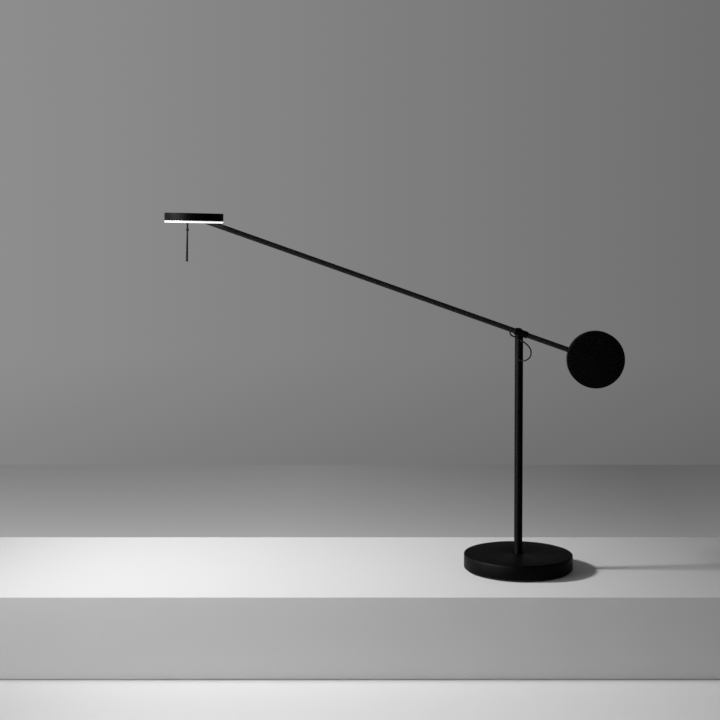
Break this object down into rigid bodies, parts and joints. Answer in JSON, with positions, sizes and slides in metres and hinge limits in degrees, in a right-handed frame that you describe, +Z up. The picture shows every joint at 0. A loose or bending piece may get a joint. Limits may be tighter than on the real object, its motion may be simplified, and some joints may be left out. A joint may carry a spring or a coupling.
{
  "type": "balance desk lamp",
  "caption": "Desk lamp with a round weighted base, a turning stem, a long counterweighted arm, and a flat round head with an opal diffuser and a handle rod.",
  "frame": {"origin": "centre of the foot pad's underside, on the stem's axis", "axes": "+Z up along the stem, -X towards the lamp head, +X towards the counterweight, -Y the side of the stem that the arm passes"},
  "size_m": [0.8839, 0.211, 0.6911],
  "materials": {
    "black_paint": "fine matte black powder coat on steel",
    "head_paint": "matte black coat on spun aluminium",
    "rod_paint": "satin black coat on a steel rod",
    "cast_iron": "rough cast, dark",
    "plain_steel": "zinc plated, slightly dull",
    "screw_steel": "bright turned steel",
    "black_screw": "black oxide steel",
    "bush_brass": "machined",
    "foot_rubber": "matte, finely grained",
    "black_plastic": "moulded, finely textured",
    "black_nylon": "smooth nylon",
    "lead_jacket": "soft matte cord jacket",
    "spreader_metal": "machined, bare",
    "board_white": "aluminium board with a white mask",
    "led_phosphor": "yellow phosphor in a white case",
    "diffuser_opal": "opal, lets light through evenly"
  },
  "bodies": {
    "base": {"base_cover": "black_paint", "base_weight": "cast_iron", "bottom_plate": "plain_steel", "foot_pad": "foot_rubber", "base_screws": "screw_steel", "cord_gland": "black_plastic", "swivel_bush": "bush_brass", "thrust_ring": "black_nylon", "stop_pin": "screw_steel"},
    "stem": {"stem_foot": "black_paint", "stop_washer": "plain_steel", "spring_washer": "screw_steel", "swivel_nut": "screw_steel", "stem_tube": "black_paint", "stem_top": "black_paint", "stem_top_screw": "black_screw", "stem_lead_bushing": "black_plastic", "stem_lead": "lead_jacket"},
    "arm": {"friction_washers": "black_nylon", "arm_sleeve": "black_paint", "sleeve_screws": "black_screw", "pivot_bolt": "screw_steel", "wave_washer": "screw_steel", "pivot_nut": "black_screw", "arm_tube": "black_paint", "arm_lead_bushing": "black_plastic", "arm_tip": "black_paint", "arm_tip_screw": "black_screw", "counterweight": "black_paint", "counterweight_screws": "black_screw", "arm_lead": "lead_jacket", "lead_loop": "lead_jacket"},
    "head": {"head_housing": "head_paint", "heat_spreader": "spreader_metal", "led_board": "board_white", "board_screws": "screw_steel", "leds": "led_phosphor", "diffuser": "diffuser_opal", "slot_liner": "black_plastic", "hinge_bracket": "plain_steel", "bracket_screws": "screw_steel", "hinge_pin": "screw_steel", "hinge_washers": "black_nylon", "handle_socket": "plain_steel", "handle_rod": "rod_paint", "handle_collar": "black_plastic", "handle_tip": "black_plastic"}
  },
  "joints": [
    {"name": "stem_swivel", "type": "hinge", "parent": "base", "child": "stem", "pos_m": [0, 0, 0.03], "axis": [0, 0, 1], "range_deg": [-159, 159]},
    {"name": "arm_tilt", "type": "hinge", "parent": "stem", "child": "arm", "pos_m": [0, -0.0153, 0.461], "axis": [0, 1, 0], "range_deg": [-49.5, 40.5], "deforming": ["lead_loop"]},
    {"name": "head_tilt", "type": "hinge", "parent": "arm", "child": "head", "pos_m": [-0.62705, -0.0153, 0.68243], "axis": [0, 1, 0], "range_deg": [-71.6, 1.3]}
  ]
}
